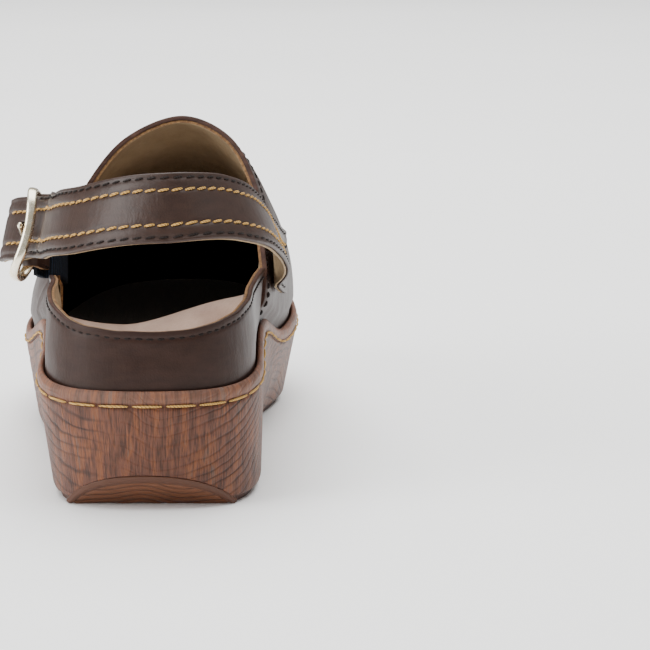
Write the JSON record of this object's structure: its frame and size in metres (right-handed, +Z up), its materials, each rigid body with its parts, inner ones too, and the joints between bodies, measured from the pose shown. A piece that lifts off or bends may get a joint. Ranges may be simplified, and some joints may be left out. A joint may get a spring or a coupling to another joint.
{
  "type": "slingback clog",
  "caption": "Left-foot slingback clog with a wood-grained wedge platform, stitched leather upper, contoured footbed and buckled heel strap.",
  "frame": {"origin": "on the ground, under the middle of the heel", "axes": "+Y towards the toe, +X towards the inner side of the foot, +Z up"},
  "size_m": [0.1012, 0.2731, 0.112],
  "materials": {
    "platform": "satin",
    "tread": "matte",
    "upper_leather": "semi-gloss",
    "lining_leather": "matte",
    "footbed_suede": "matte",
    "stiffener": "matte",
    "cork": "matte",
    "tan_thread": "satin",
    "dark_thread": "satin",
    "elastic": "matte",
    "buckle_metal": "polished"
  },
  "bodies": {
    "clog": {"platform": "platform", "tread": "tread", "heel_panel": "tread", "rim_stitching": "tan_thread", "insole_board": "stiffener", "footbed_base": "cork", "footbed_cover": "footbed_suede", "heel_collar": "upper_leather", "heel_counter": "stiffener", "collar_lining": "lining_leather", "collar_stitching": "dark_thread", "vamp": "upper_leather", "toe_puff": "stiffener", "vamp_lining": "lining_leather", "topline_stitching": "dark_thread", "side_seam_stitching": "dark_thread", "strap_end": "upper_leather", "strap_end_stitching": "dark_thread", "elastic_gore": "elastic"},
    "heel_strap": {"heel_strap": "upper_leather", "strap_lining": "lining_leather", "strap_contrast_stitching": "tan_thread", "strap_edge_stitching": "dark_thread", "buckle_tab": "upper_leather", "tab_stitching": "dark_thread"},
    "buckle_frame": {"buckle_frame": "buckle_metal"},
    "buckle_prong": {"buckle_prong": "buckle_metal"}
  },
  "joints": [
    {"name": "strap_swing", "type": "hinge", "parent": "clog", "child": "heel_strap", "pos_m": [0, 0.064, 0.0654], "axis": [1, 0, 0], "range_deg": [-20, 3], "deforming": ["elastic_gore"]},
    {"name": "buckle_frame_pivot", "type": "hinge", "parent": "heel_strap", "child": "buckle_frame", "pos_m": [-0.0424, 0.04101, 0.0723], "axis": [0, -0.2873, -0.9578], "range_deg": [0, 6]},
    {"name": "buckle_prong_pivot", "type": "hinge", "parent": "buckle_frame", "child": "buckle_prong", "pos_m": [-0.0424, 0.04101, 0.0723], "axis": [0, -0.2873, -0.9578], "range_deg": [0, 6]}
  ]
}
